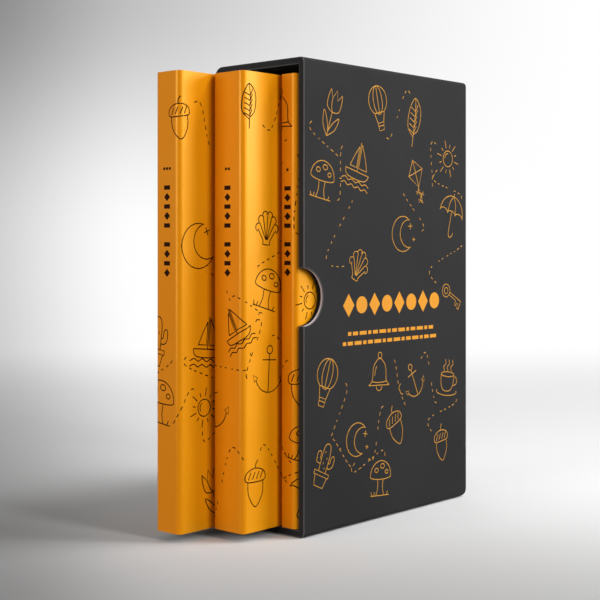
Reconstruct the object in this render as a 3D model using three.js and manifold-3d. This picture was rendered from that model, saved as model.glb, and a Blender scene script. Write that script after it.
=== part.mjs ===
// An upright slipcase of rigid board with three soft-cover books standing in it.
// Millimetres, +Z up. The mouth of the case and the spines of the books face -Y,
// the panel with the thumb notch is +X, and the origin is the middle of the underside.

import * as THREE from 'three';
import { mergeVertices } from 'three/addons/utils/BufferGeometryUtils.js';
import Module from 'manifold-3d';

const wasm = await Module();
wasm.setup();

// Books. Book 1 stands next to the notch. A book is drawn out by how far its spine stands past the mouth.
const BOOK_HEIGHT = 190;
const BOOK_DEPTH = 112.5;
const COVER_THICKNESS = 0.5;
const SPINE_CORNER_RADIUS = 2.6;
const BOOK_1_THICKNESS = 9.6;
const BOOK_2_THICKNESS = 18.2;
const BOOK_3_THICKNESS = 15;
const BOOK_1_DRAWN_OUT = 1;
const BOOK_2_DRAWN_OUT = 22;
const BOOK_3_DRAWN_OUT = 40;

// Slipcase.
const BOARD_THICKNESS = 3;
const NOTCH_RADIUS = 12;
const FAR_LONG_EDGE_RADIUS = 4.5;
const NOTCH_LONG_EDGE_RADIUS = 2.2;
const BACK_FOOT_RADIUS = 4;
const BACK_HEAD_RADIUS = 0.8;

// Clearances.
const PAGE_CLEARANCE = 0.1;
const FLOOR_CLEARANCE = 0.3;
const HEAD_CLEARANCE = 3.7;
const BOOK_CLEARANCE = 0.5;
const FAR_SIDE_CLEARANCE = 2.7;
const BACK_CLEARANCE = 2;

// Curve fineness, and how far a cutter runs past the face that it opens.
const EDGE_SEGMENTS = 12;
const NOTCH_SEGMENTS = 72;
const CUTTER_OVERRUN = 5;

const PAPER = {
  printedWrap: { color: 0x414142, roughness: 0.55, metalness: 0 },
  printedCover: { color: 0xd98a1c, roughness: 0.35, metalness: 0 },
  pages: { color: 0xf1e9d8, roughness: 0.9, metalness: 0 },
};

const BOOKS = [
  { name: 'book_1', thickness: BOOK_1_THICKNESS, drawnOut: BOOK_1_DRAWN_OUT },
  { name: 'book_2', thickness: BOOK_2_THICKNESS, drawnOut: BOOK_2_DRAWN_OUT },
  { name: 'book_3', thickness: BOOK_3_THICKNESS, drawnOut: BOOK_3_DRAWN_OUT },
];

// The hollow takes the books side by side, and the outside adds one board all round.
const stackWidth = BOOKS.reduce((sum, book) => sum + book.thickness + BOOK_CLEARANCE, 0);
const hollow = {
  width: stackWidth + FAR_SIDE_CLEARANCE,
  height: FLOOR_CLEARANCE + BOOK_HEIGHT + HEAD_CLEARANCE,
  depth: BOOK_DEPTH + BACK_CLEARANCE,
};
const outside = {
  width: hollow.width + 2 * BOARD_THICKNESS,
  height: hollow.height + 2 * BOARD_THICKNESS,
  depth: hollow.depth + BOARD_THICKNESS,
};
const mouthY = -outside.depth / 2;
const notchPanelInnerX = hollow.width / 2;

// A shape's own x and y are laid along two axes of the part, and it is extruded along the third.
const STANDING = new THREE.Matrix4();
const ALONG_DEPTH = new THREE.Matrix4().makeBasis(
  new THREE.Vector3(1, 0, 0),
  new THREE.Vector3(0, 0, 1),
  new THREE.Vector3(0, -1, 0),
);
const ALONG_WIDTH = new THREE.Matrix4().makeBasis(
  new THREE.Vector3(0, 1, 0),
  new THREE.Vector3(0, 0, 1),
  new THREE.Vector3(1, 0, 0),
);

function extrudeAlong(shape, start, end, axes) {
  const geometry = new THREE.ExtrudeGeometry(shape, {
    depth: end - start,
    bevelEnabled: false,
    curveSegments: EDGE_SEGMENTS,
  });
  geometry.translate(0, 0, start);
  geometry.applyMatrix4(axes);
  return geometry;
}

// A rectangle between two corners, with its own radius at each corner,
// listed anticlockwise from the low left one.
function roundedRectangle(low, high, radii) {
  const [lowLeft, lowRight, highRight, highLeft] = radii;
  const shape = new THREE.Shape();
  shape.moveTo(low.x + lowLeft, low.y);
  shape.lineTo(high.x - lowRight, low.y);
  shape.absarc(high.x - lowRight, low.y + lowRight, lowRight, -Math.PI / 2, 0, false);
  shape.lineTo(high.x, high.y - highRight);
  shape.absarc(high.x - highRight, high.y - highRight, highRight, 0, Math.PI / 2, false);
  shape.lineTo(low.x + highLeft, high.y);
  shape.absarc(low.x + highLeft, high.y - highLeft, highLeft, Math.PI / 2, Math.PI, false);
  shape.lineTo(low.x, low.y + lowLeft);
  shape.absarc(low.x + lowLeft, low.y + lowLeft, lowLeft, Math.PI, 1.5 * Math.PI, false);
  return shape;
}

function toSolid(geometry) {
  const bare = geometry.index ? geometry.toNonIndexed() : geometry.clone();
  bare.deleteAttribute('normal');
  bare.deleteAttribute('uv');
  const merged = mergeVertices(bare);
  return new wasm.Manifold(new wasm.Mesh({
    numProp: 3,
    vertProperties: new Float32Array(merged.attributes.position.array),
    triVerts: new Uint32Array(merged.index.array),
  }));
}

function toGeometry(solid) {
  const mesh = solid.getMesh();
  const geometry = new THREE.BufferGeometry();
  geometry.setAttribute('position', new THREE.BufferAttribute(mesh.vertProperties, mesh.numProp));
  geometry.setIndex(new THREE.BufferAttribute(mesh.triVerts, 1));
  geometry.computeVertexNormals();
  return geometry;
}

function makeMesh(name, geometry, finish) {
  const mesh = new THREE.Mesh(geometry, new THREE.MeshStandardMaterial(finish));
  mesh.name = name;
  return mesh;
}

// The outside of the case is what its front outline and its side outline share.
function caseOutside() {
  const halfWidth = outside.width / 2;
  const halfDepth = outside.depth / 2;
  const front = roundedRectangle(
    new THREE.Vector2(-halfWidth, 0),
    new THREE.Vector2(halfWidth, outside.height),
    [FAR_LONG_EDGE_RADIUS, NOTCH_LONG_EDGE_RADIUS, NOTCH_LONG_EDGE_RADIUS, FAR_LONG_EDGE_RADIUS],
  );
  const side = new THREE.Shape();
  side.moveTo(-halfDepth, 0);
  side.lineTo(halfDepth - BACK_FOOT_RADIUS, 0);
  side.absarc(halfDepth - BACK_FOOT_RADIUS, BACK_FOOT_RADIUS, BACK_FOOT_RADIUS, -Math.PI / 2, 0, false);
  side.lineTo(halfDepth, outside.height - BACK_HEAD_RADIUS);
  side.absarc(
    halfDepth - BACK_HEAD_RADIUS,
    outside.height - BACK_HEAD_RADIUS,
    BACK_HEAD_RADIUS,
    0,
    Math.PI / 2,
    false,
  );
  side.lineTo(-halfDepth, outside.height);
  const frontBlock = extrudeAlong(
    front,
    -halfDepth - CUTTER_OVERRUN,
    halfDepth + CUTTER_OVERRUN,
    ALONG_DEPTH,
  );
  const sideBlock = extrudeAlong(
    side,
    -halfWidth - CUTTER_OVERRUN,
    halfWidth + CUTTER_OVERRUN,
    ALONG_WIDTH,
  );
  return toSolid(frontBlock).intersect(toSolid(sideBlock));
}

// The hollow is open at the mouth and has square corners.
function caseHollow() {
  const box = new THREE.BoxGeometry(hollow.width, hollow.depth + CUTTER_OVERRUN, hollow.height);
  box.translate(
    0,
    mouthY + (hollow.depth - CUTTER_OVERRUN) / 2,
    BOARD_THICKNESS + hollow.height / 2,
  );
  return toSolid(box);
}

// The thumb notch is a half circle, centred on the panel's front edge at mid-height.
function thumbNotch() {
  const length = BOARD_THICKNESS + 2 * CUTTER_OVERRUN;
  const cutter = new THREE.CylinderGeometry(NOTCH_RADIUS, NOTCH_RADIUS, length, NOTCH_SEGMENTS);
  cutter.rotateZ(Math.PI / 2);
  cutter.translate(notchPanelInnerX + BOARD_THICKNESS / 2, mouthY, outside.height / 2);
  return toSolid(cutter);
}

function slipcase() {
  const shell = caseOutside().subtract(caseHollow()).subtract(thumbNotch());
  return makeMesh('slipcase', toGeometry(shell), PAPER.printedWrap);
}

// One sheet of card wraps the front board, the spine and the back board in a U.
// The section is drawn with the spine at y = 0 and the fore edge at y = BOOK_DEPTH.
function coverSheet(thickness) {
  const half = thickness / 2;
  const radius = SPINE_CORNER_RADIUS;
  const innerRadius = SPINE_CORNER_RADIUS - COVER_THICKNESS;
  const innerHalf = half - COVER_THICKNESS;
  const section = new THREE.Shape();
  section.moveTo(-half, BOOK_DEPTH);
  section.lineTo(-half, radius);
  section.absarc(-half + radius, radius, radius, Math.PI, 1.5 * Math.PI, false);
  section.lineTo(half - radius, 0);
  section.absarc(half - radius, radius, radius, -Math.PI / 2, 0, false);
  section.lineTo(half, BOOK_DEPTH);
  section.lineTo(innerHalf, BOOK_DEPTH);
  section.lineTo(innerHalf, radius);
  section.absarc(half - radius, radius, innerRadius, 0, -Math.PI / 2, true);
  section.lineTo(-half + radius, COVER_THICKNESS);
  section.absarc(-half + radius, radius, innerRadius, 1.5 * Math.PI, Math.PI, true);
  section.lineTo(-innerHalf, BOOK_DEPTH);
  return extrudeAlong(section, 0, BOOK_HEIGHT, STANDING);
}

// The pages fill the cover and are trimmed flush with it at head, tail and fore edge.
function pageBlock(thickness) {
  const inset = COVER_THICKNESS + PAGE_CLEARANCE;
  const half = thickness / 2 - inset;
  const radius = SPINE_CORNER_RADIUS - inset;
  const section = roundedRectangle(
    new THREE.Vector2(-half, inset),
    new THREE.Vector2(half, BOOK_DEPTH),
    [radius, radius, 0, 0],
  );
  return extrudeAlong(section, 0, BOOK_HEIGHT, STANDING);
}

function makeBook({ name, thickness, drawnOut }, notchSideX) {
  const book = new THREE.Group();
  book.position.set(
    notchSideX - thickness / 2,
    mouthY - drawnOut,
    BOARD_THICKNESS + FLOOR_CLEARANCE,
  );
  book.add(makeMesh(`${name}_cover`, coverSheet(thickness), PAPER.printedCover));
  book.add(makeMesh(`${name}_pages`, pageBlock(thickness), PAPER.pages));
  return book;
}

// The books stand in order from the notched panel towards the far side.
function standBooks() {
  const books = new THREE.Group();
  let notchSideX = notchPanelInnerX - BOOK_CLEARANCE;
  for (const book of BOOKS) {
    books.add(makeBook(book, notchSideX));
    notchSideX -= book.thickness + BOOK_CLEARANCE;
  }
  return books;
}

const group = new THREE.Group();
group.add(slipcase());
group.add(standBooks());

export default group;
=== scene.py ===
"""Looks of an upright board slipcase with three soft-cover books standing in it.

The slipcase is a shell of pale board wrapped in charcoal paper, with line drawings in gold ink.
The books are soft-cover, in laminated orange card with dark line drawings.
Sizes are in metres, in the CAD model's own frame.
"""

import logging
import math
import random
from collections.abc import Callable, Iterator
from contextlib import contextmanager
from dataclasses import dataclass, field
from enum import Enum
from itertools import cycle

import bmesh
import bpy
from mathutils import Matrix, Vector


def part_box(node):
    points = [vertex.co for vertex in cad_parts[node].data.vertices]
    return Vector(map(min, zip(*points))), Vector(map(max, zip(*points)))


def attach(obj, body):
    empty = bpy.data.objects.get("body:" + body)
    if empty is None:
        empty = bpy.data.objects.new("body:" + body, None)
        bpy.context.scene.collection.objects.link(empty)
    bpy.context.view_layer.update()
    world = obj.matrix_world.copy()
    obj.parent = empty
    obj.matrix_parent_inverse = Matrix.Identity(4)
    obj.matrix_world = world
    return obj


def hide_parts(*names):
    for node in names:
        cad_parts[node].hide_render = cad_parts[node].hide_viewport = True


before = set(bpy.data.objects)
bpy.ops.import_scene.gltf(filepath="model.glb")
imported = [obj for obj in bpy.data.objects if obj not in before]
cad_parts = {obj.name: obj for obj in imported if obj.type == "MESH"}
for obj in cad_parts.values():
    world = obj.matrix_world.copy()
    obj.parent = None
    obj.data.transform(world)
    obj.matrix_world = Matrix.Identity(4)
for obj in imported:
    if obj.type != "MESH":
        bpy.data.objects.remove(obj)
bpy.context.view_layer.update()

MM = 0.001
TOUCH = 0.01 * MM
RIGHT_ANGLE = math.pi / 2
SHARP_ANGLE = math.radians(40)
SMOOTH_ANGLE = math.radians(42)
STRAIGHT_SHARE = 0.999
ARC_STEP_DEGREES = 15
FEWEST_ARC_STEPS = 4
FACE_WEIGHT = 80
SPINE_CORNER = 2.6 * MM
# The share of each cover point that takes the painted shade on the spine.
SPINE_SHADE_SHARE = "spine_share"
LOG = logging.getLogger("slipcase")

Piece = bpy.types.Object
Material = bpy.types.Material
Socket = bpy.types.NodeSocket
Colour = tuple[float, float, float, float]
Point = tuple[float, float]
Test = Callable[[Vector], bool]


# Working with operators


def make_active(piece: Piece) -> None:
    """Selects one object, alone, and makes it the active one.

    Args:
        piece: The object that the next operator acts on.
    """
    bpy.ops.object.select_all(action="DESELECT")
    piece.select_set(True)
    bpy.context.view_layer.objects.active = piece


def apply_place(piece: Piece) -> None:
    """Moves an object's place, turn and size into its mesh.

    Args:
        piece: The object to settle at the origin.
    """
    make_active(piece)
    bpy.ops.object.transform_apply(location=True, rotation=True, scale=True)


def apply_modifier(piece: Piece, kind: str, **settings: object) -> None:
    """Adds a modifier to a piece and applies it.

    Args:
        piece: The object to modify.
        kind: Blender's name of the modifier type.
        settings: Values of the modifier's own properties.
    """
    make_active(piece)
    modifier = piece.modifiers.new(kind.title(), kind)
    for name, value in settings.items():
        setattr(modifier, name, value)
    bpy.ops.object.modifier_apply(modifier=modifier.name)


def combine(piece: Piece, tool: Piece, operation: str) -> None:
    """Joins, cuts or intersects a piece with a tool body, which is then removed.

    Args:
        piece: The object that stays.
        tool: The object that is used up.
        operation: UNION, DIFFERENCE or INTERSECT.
    """
    apply_modifier(piece, "BOOLEAN", operation=operation, object=tool, solver="EXACT")
    bpy.data.objects.remove(tool)


@contextmanager
def edit_mode(piece: Piece, elements: str) -> Iterator[bmesh.types.BMesh]:
    """Opens a piece in edit mode with nothing selected.

    Args:
        piece: The object to edit.
        elements: VERT, EDGE or FACE, the kind of element to select.

    Yields:
        The mesh being edited, for selecting by place.
    """
    make_active(piece)
    bpy.ops.object.mode_set(mode="EDIT")
    bpy.ops.mesh.select_mode(type=elements)
    bpy.ops.mesh.select_all(action="DESELECT")
    yield bmesh.from_edit_mesh(piece.data)
    bpy.ops.object.mode_set(mode="OBJECT")


def select_edges(mesh: bmesh.types.BMesh, along: int, test: Test) -> None:
    """Selects the edges that run along one axis and whose middle passes a test.

    Args:
        mesh: The mesh being edited.
        along: The axis, 0, 1 or 2.
        test: Says whether the middle of an edge is wanted.
    """
    for edge in mesh.edges:
        start, end = (vertex.co for vertex in edge.verts)
        span = end - start
        straight = abs(span[along]) > STRAIGHT_SHARE * span.length
        edge.select_set(straight and test((start + end) / 2))


def select_faces(mesh: bmesh.types.BMesh, test: Test) -> None:
    """Selects the faces whose middle passes a test.

    Args:
        mesh: The mesh being edited.
        test: Says whether the middle of a face is wanted.
    """
    for face in mesh.faces:
        face.select_set(test(face.calc_center_median()))


def add_block(name: str, low: Vector, high: Vector) -> Piece:
    """Adds a box between two corners, settled at the origin.

    Args:
        name: The object's name.
        low: The lowest corner.
        high: The highest corner.

    Returns:
        The new object.
    """
    bpy.ops.object.select_all(action="DESELECT")
    bpy.ops.mesh.primitive_cube_add(size=1, location=(low + high) / 2)
    block = bpy.context.object
    block.name = name
    block.scale = high - low
    apply_place(block)
    return block


def round_edges(
    piece: Piece, width: float, segments: int, test: Test, material: int = -1
) -> None:
    """Rounds the sharp edges of a piece whose two ends both pass a test.

    Args:
        piece: The object to edit.
        width: How far the rounding reaches from each edge.
        segments: The number of faces across the rounding.
        test: Says whether an edge's end is wanted.
        material: The material slot of the rounded faces, or -1 for that of their neighbours.
    """
    with edit_mode(piece, "EDGE") as mesh:
        for edge in mesh.edges:
            sharp = edge.calc_face_angle(0) > SHARP_ANGLE
            edge.select_set(sharp and all(test(vertex.co) for vertex in edge.verts))
        bpy.ops.mesh.bevel(
            offset=width, segments=segments, affect="EDGES", clamp_overlap=False, material=material
        )


def shade(piece: Piece) -> None:
    """Shades a piece smooth, apart from its sharp edges.

    Args:
        piece: The object to shade.
    """
    make_active(piece)
    bpy.ops.object.shade_smooth_by_angle(angle=SMOOTH_ANGLE)
    apply_modifier(piece, "WEIGHTED_NORMAL", keep_sharp=True, weight=FACE_WEIGHT)


# Finishes


def srgb(red: float, green: float, blue: float) -> Colour:
    """Turns a colour as seen on a screen, 0 to 255, into the linear one that shaders use.

    Args:
        red: Red.
        green: Green.
        blue: Blue.

    Returns:
        The linear colour with full alpha.
    """
    def linear(value: float) -> float:
        """Turns one channel into its linear value."""
        share = value / 255
        return share / 12.92 if share <= 0.04045 else ((share + 0.055) / 1.055) ** 2.4

    return (linear(red), linear(green), linear(blue), 1.0)


class NodeSheet:
    """A node tree that is written node by node."""

    def __init__(self, tree: bpy.types.NodeTree) -> None:
        """Keeps the tree.

        Args:
            tree: The node tree to write in.
        """
        self.tree = tree

    def add(self, kind: str, **settings: object) -> bpy.types.Node:
        """Adds a node.

        Args:
            kind: The node's type name.
            settings: Values of the node's own properties.

        Returns:
            The new node.
        """
        node = self.tree.nodes.new(kind)
        for name, value in settings.items():
            setattr(node, name, value)
        return node

    def link(self, source: Socket, target: Socket) -> None:
        """Joins an output to an input."""
        self.tree.links.new(source, target)

    def feed(self, value: object, target: Socket) -> None:
        """Joins an output to an input, or sets the input to a plain value.

        Args:
            value: A socket, a number or a colour.
            target: The input.
        """
        if isinstance(value, Socket):
            self.link(value, target)
        else:
            target.default_value = value

    def math(self, operation: str, first: object, second: object) -> Socket:
        """Adds a math node.

        Args:
            operation: The node's operation.
            first: A socket or a number.
            second: A socket or a number.

        Returns:
            The node's output.
        """
        node = self.add("ShaderNodeMath", operation=operation)
        self.feed(first, node.inputs[0])
        self.feed(second, node.inputs[1])
        return node.outputs[0]

    def noise(self, place: Socket, scale: Socket, detail: float, roughness: float) -> Socket:
        """Adds a noise texture.

        Args:
            place: The coordinates.
            scale: The noise's scale.
            detail: The noise's detail.
            roughness: The noise's roughness.

        Returns:
            The noise's value.
        """
        node = self.add("ShaderNodeTexNoise")
        self.link(place, node.inputs["Vector"])
        self.link(scale, node.inputs["Scale"])
        node.inputs["Detail"].default_value = detail
        node.inputs["Roughness"].default_value = roughness
        return node.outputs["Fac"]

    def ramp(self, value: Socket, low: float, high: float) -> Socket:
        """Maps a value smoothly so that low gives 0 and high gives 1.

        Args:
            value: The socket to map.
            low: The value that gives 0.
            high: The value that gives 1.

        Returns:
            The mapped value.
        """
        node = self.add("ShaderNodeMapRange", interpolation_type="SMOOTHSTEP")
        self.link(value, node.inputs["Value"])
        node.inputs["From Min"].default_value = low
        node.inputs["From Max"].default_value = high
        return node.outputs["Result"]

    def mix(self, share: Socket, first: object, second: object) -> Socket:
        """Mixes two colours.

        Args:
            share: The share of the second colour.
            first: A socket or a colour.
            second: A socket or a colour.

        Returns:
            The mixed colour.
        """
        node = self.add("ShaderNodeMix", data_type="RGBA")
        self.link(share, node.inputs["Factor"])
        self.feed(first, node.inputs[6])
        self.feed(second, node.inputs[7])
        return node.outputs[2]

    def blend(self, share: Socket, first: Socket, second: Socket) -> Socket:
        """Mixes two shaders.

        Args:
            share: The share of the second shader.
            first: The first shader.
            second: The second shader.

        Returns:
            The mixed shader.
        """
        node = self.add("ShaderNodeMixShader")
        for source, target in zip((share, first, second), node.inputs):
            self.link(source, target)
        return node.outputs[0]


class Effects:
    """The surface effects that several materials share, each a node group built once."""

    scuff_stretch: tuple[float, float, float] = (1.0, 1.0, 0.12)
    scuff_turn: tuple[float, float, float] = (0.5, 0.35, 0.2)

    def __init__(self) -> None:
        """Builds every group."""
        self.grain = self._grain()
        self.handling = self._handling()

    @staticmethod
    def _new_group(
        name: str, inputs: dict[str, float], outputs: list[str]
    ) -> tuple[NodeSheet, bpy.types.Node, bpy.types.Node]:
        """Starts a group with number sockets and a vector input named Place.

        Args:
            name: The group's name.
            inputs: Each number input and its default.
            outputs: Each number output.

        Returns:
            The group's sheet, its input node and its output node.
        """
        tree = bpy.data.node_groups.new(name, "ShaderNodeTree")
        tree.interface.new_socket("Place", in_out="INPUT", socket_type="NodeSocketVector")
        for title, default in inputs.items():
            socket = tree.interface.new_socket(title, in_out="INPUT", socket_type="NodeSocketFloat")
            socket.default_value = default
        for title in outputs:
            tree.interface.new_socket(title, in_out="OUTPUT", socket_type="NodeSocketFloat")
        sheet = NodeSheet(tree)
        return sheet, sheet.add("NodeGroupInput"), sheet.add("NodeGroupOutput")

    def _grain(self) -> bpy.types.NodeTree:
        """Builds the fine tooth and the slow unevenness of coated paper.

        Returns:
            The group, with outputs Tooth, a height, and Uneven, from 0 to 1.
        """
        sheet, given, result = self._new_group(
            "paper_grain", {"Fineness": 1800.0, "Breadth": 18.0}, ["Tooth", "Uneven"]
        )
        place, fineness, breadth = given.outputs[:3]
        tooth = sheet.noise(place, fineness, detail=2.0, roughness=0.55)
        broad = sheet.noise(place, breadth, detail=2.0, roughness=0.4)
        sheet.link(tooth, result.inputs["Tooth"])
        sheet.link(sheet.ramp(broad, low=0.3, high=0.7), result.inputs["Uneven"])
        return sheet.tree

    def _handling(self) -> bpy.types.NodeTree:
        """Builds the faint scuffs and finger smears of a handled, laminated surface.

        Returns:
            The group, with outputs Scuff and Smear, each from 0 to 1.
        """
        sheet, given, result = self._new_group(
            "handling_marks", {"Scuff Scale": 60.0, "Smear Scale": 30.0}, ["Scuff", "Smear"]
        )
        place, scuff_scale, smear_scale = given.outputs[:3]
        stretched = sheet.add("ShaderNodeMapping")
        stretched.inputs["Scale"].default_value = self.scuff_stretch
        stretched.inputs["Rotation"].default_value = self.scuff_turn
        sheet.link(place, stretched.inputs["Vector"])
        lines = sheet.noise(stretched.outputs["Vector"], scuff_scale, detail=8.0, roughness=0.75)
        smear = sheet.noise(place, smear_scale, detail=4.0, roughness=0.6)
        sheet.link(sheet.ramp(lines, low=0.62, high=0.8), result.inputs["Scuff"])
        sheet.link(sheet.ramp(smear, low=0.45, high=0.75), result.inputs["Smear"])
        return sheet.tree


@dataclass(frozen=True)
class PaperFinish:
    """A printed or plain paper surface.

    The colour drifts slightly between two tones, and the sheen varies with handling. A spine tone, where
    given, is painted shade: a deeper, redder tone on the spine's faces.
    """

    name: str
    tone: Colour
    second_tone: Colour
    roughness: float
    sheen_tone: Colour = (1.0, 1.0, 1.0, 1.0)
    sheen: float = 0.5
    spine_shade_tone: Colour | None = None
    tooth: float = 0.05
    tooth_depth: float = 0.05 * MM
    tooth_fineness: float = 1800.0
    smears: float = 0.08
    scuffs: float = 0.0
    scuff_tone: Colour = srgb(150, 150, 150)

    def build(self, effects: Effects) -> Material:
        """Builds the material.

        Args:
            effects: The shared node groups.

        Returns:
            The new material.
        """
        material = bpy.data.materials.new(self.name)
        material.use_nodes = True
        sheet = NodeSheet(material.node_tree)
        shader = material.node_tree.nodes["Principled BSDF"]
        place = sheet.add("ShaderNodeTexCoord").outputs["Object"]

        grain = sheet.add("ShaderNodeGroup", node_tree=effects.grain)
        grain.inputs["Fineness"].default_value = self.tooth_fineness
        marks = sheet.add("ShaderNodeGroup", node_tree=effects.handling)
        sheet.link(place, grain.inputs["Place"])
        sheet.link(place, marks.inputs["Place"])

        colour = sheet.mix(grain.outputs["Uneven"], self.tone, self.second_tone)
        # Painted shade: the spine's faces take a deeper, redder tone than the covers.
        if self.spine_shade_tone:
            share = sheet.add("ShaderNodeAttribute", attribute_name=SPINE_SHADE_SHARE)
            colour = sheet.mix(share.outputs["Fac"], colour, self.spine_shade_tone)
        scuffed = sheet.math("MULTIPLY", marks.outputs["Scuff"], self.scuffs)
        sheet.link(sheet.mix(scuffed, colour, self.scuff_tone), shader.inputs["Base Color"])

        smeared = sheet.math("MULTIPLY", marks.outputs["Smear"], self.smears)
        sheet.link(sheet.math("ADD", smeared, self.roughness), shader.inputs["Roughness"])
        shader.inputs["Specular IOR Level"].default_value = self.sheen
        shader.inputs["Specular Tint"].default_value = self.sheen_tone

        bump = sheet.add("ShaderNodeBump")
        bump.inputs["Strength"].default_value = self.tooth
        bump.inputs["Distance"].default_value = self.tooth_depth
        sheet.link(grain.outputs["Tooth"], bump.inputs["Height"])
        sheet.link(bump.outputs["Normal"], shader.inputs["Normal"])
        return material


# The case


@dataclass
class Slipcase:
    """The shell of wrapped board, open at the mouth, with the thumb notch in one panel."""

    finishes: dict[str, Material]
    board: float = 3 * MM
    bare_core: float = 1.2 * MM
    far_long_edge: float = 4.5 * MM
    notch_long_edge: float = 2.2 * MM
    back_foot: float = 4 * MM
    back_head: float = 0.8 * MM
    notch_radius: float = 12 * MM
    paper_edge: float = 0.35 * MM
    long_edge_faces: int = 16
    back_foot_faces: int = 12
    back_head_faces: int = 5
    notch_faces: int = 128
    paper_edge_faces: int = 3
    overrun: float = 5 * MM
    low: Vector = field(init=False)
    high: Vector = field(init=False)
    middle_height: float = field(init=False)

    def __post_init__(self) -> None:
        """Takes the outside from the frame."""
        self.low, self.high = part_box("slipcase")
        self.middle_height = (self.low.z + self.high.z) / 2

    def build(self) -> Piece:
        """Models the shell.

        Returns:
            The finished piece.
        """
        shell = self._front_outline()
        combine(shell, self._side_outline(), "INTERSECT")
        combine(shell, self._hollow(), "DIFFERENCE")
        combine(shell, self._notch(), "DIFFERENCE")
        self.dress(shell)
        # Painted highlight: the rounded paper edges of the mouth and the notch's rim take a lighter grey.
        edge_highlight = shell.data.materials.find("wrap_edge")
        round_edges(shell, self.paper_edge, self.paper_edge_faces, self._on_rim, edge_highlight)
        shade(shell)
        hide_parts("slipcase")
        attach(shell, "case")
        return shell

    def _front_outline(self) -> Piece:
        """Makes a block with the outline seen from the mouth, longer than the case is deep.

        Returns:
            The block.
        """
        past = Vector((0, self.overrun, 0))
        block = add_block("slipcase_shell", self.low - past, self.high + past)
        for radius, side in ((self.far_long_edge, -1), (self.notch_long_edge, 1)):
            with edit_mode(block, "EDGE") as mesh:
                select_edges(mesh, 1, lambda middle: middle.x * side > 0)
                bpy.ops.mesh.bevel(offset=radius, segments=self.long_edge_faces, affect="EDGES")
        return block

    def _side_outline(self) -> Piece:
        """Makes a block with the outline seen from the side, wider than the case.

        Returns:
            The block.
        """
        past = Vector((self.overrun, 0, 0))
        block = add_block("side_outline", self.low - past, self.high + past)
        for radius, end, faces in (
            (self.back_foot, -1, self.back_foot_faces),
            (self.back_head, 1, self.back_head_faces),
        ):
            with edit_mode(block, "EDGE") as mesh:
                select_edges(
                    mesh,
                    0,
                    lambda middle: middle.y > 0 and (middle.z - self.middle_height) * end > 0,
                )
                bpy.ops.mesh.bevel(offset=radius, segments=faces, affect="EDGES")
        return block

    def _hollow(self) -> Piece:
        """Makes the block that the books' space is cut with.

        Returns:
            The block.
        """
        inset = Vector((self.board, self.board, self.board))
        low = self.low + inset
        low.y = self.low.y - self.overrun
        return add_block("hollow", low, self.high - inset)

    def _notch(self) -> Piece:
        """Makes the cylinder that the thumb notch is cut with.

        Returns:
            The cylinder.
        """
        bpy.ops.object.select_all(action="DESELECT")
        bpy.ops.mesh.primitive_cylinder_add(
            vertices=self.notch_faces,
            radius=self.notch_radius,
            depth=self.board + 2 * self.overrun,
            location=(self.high.x - self.board / 2, self.low.y, self.middle_height),
            rotation=(0, RIGHT_ANGLE, 0),
        )
        cutter = bpy.context.object
        apply_place(cutter)
        return cutter

    def _from_notch_axis(self, place: Vector) -> float:
        """Measures how far a point lies from the axis of the thumb notch."""
        return math.hypot(place.y - self.low.y, place.z - self.middle_height)

    def _on_rim(self, place: Vector) -> bool:
        """Says whether a point lies on the rim of the mouth or of the notch's outer side.

        Args:
            place: The point.

        Returns:
            True on either rim.
        """
        on_notch = abs(self._from_notch_axis(place) - self.notch_radius) < 2 * TOUCH
        on_outside = place.x > self.high.x - TOUCH
        return abs(place.y - self.low.y) < TOUCH or (on_notch and on_outside)

    def _on_notch_wall(self, middle: Vector, depth: float) -> bool:
        """Says whether a face lies on the notch's cut edge, near enough to the outside.

        Args:
            middle: The middle of the face.
            depth: How far in from the outside still counts.

        Returns:
            True on that part of the cut edge.
        """
        near = self._from_notch_axis(middle) < self.notch_radius + 2 * TOUCH
        return near and self.high.x - depth < middle.x < self.high.x

    def _on_notch(self, middle: Vector) -> bool:
        """Says whether a face lies anywhere on the notch's cut edge."""
        return self._on_notch_wall(middle, self.board)

    def _on_bare_core(self, middle: Vector) -> bool:
        """Says whether a face lies on the outer part of the notch's cut edge, which shows the bare board."""
        return self._on_notch_wall(middle, self.bare_core)

    def _inside(self, middle: Vector) -> bool:
        """Says whether a face lies in the hollow.

        Args:
            middle: The middle of the face.

        Returns:
            True inside the case.
        """
        half_wall = (self.board + TOUCH) / 2
        return (
            self.low.x + half_wall < middle.x < self.high.x - half_wall
            and self.low.z + half_wall < middle.z < self.high.z - half_wall
            and self.low.y + TOUCH < middle.y < self.high.y - half_wall
        )

    def dress(self, shell: Piece) -> None:
        """Gives the outside, the lining and the notch's cut edge their own materials; the inner part of the
        notch's cut edge takes the dark lining as painted shadow.

        Args:
            shell: The modelled shell.
        """
        # The notch's cut edge is split where the bare board ends and the painted shadow begins.
        edge_of_notch_shadow = Vector((self.high.x - self.bare_core, 0, 0))
        with edit_mode(shell, "FACE") as mesh:
            select_faces(mesh, self._on_notch)
            bpy.ops.mesh.bisect(plane_co=edge_of_notch_shadow, plane_no=(1, 0, 0))
        for name in ("wrap", "lining", "board_core", "wrap_edge"):
            shell.data.materials.append(self.finishes[name])
        for name, test in (
            ("lining", self._inside),
            # Painted shadow: the dark lining on the inner part of the notch's cut edge.
            ("lining", self._on_notch),
            ("board_core", self._on_bare_core),
        ):
            with edit_mode(shell, "FACE") as mesh:
                select_faces(mesh, test)
                shell.active_material_index = shell.data.materials.find(name)
                bpy.ops.object.material_slot_assign()


# The books


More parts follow.
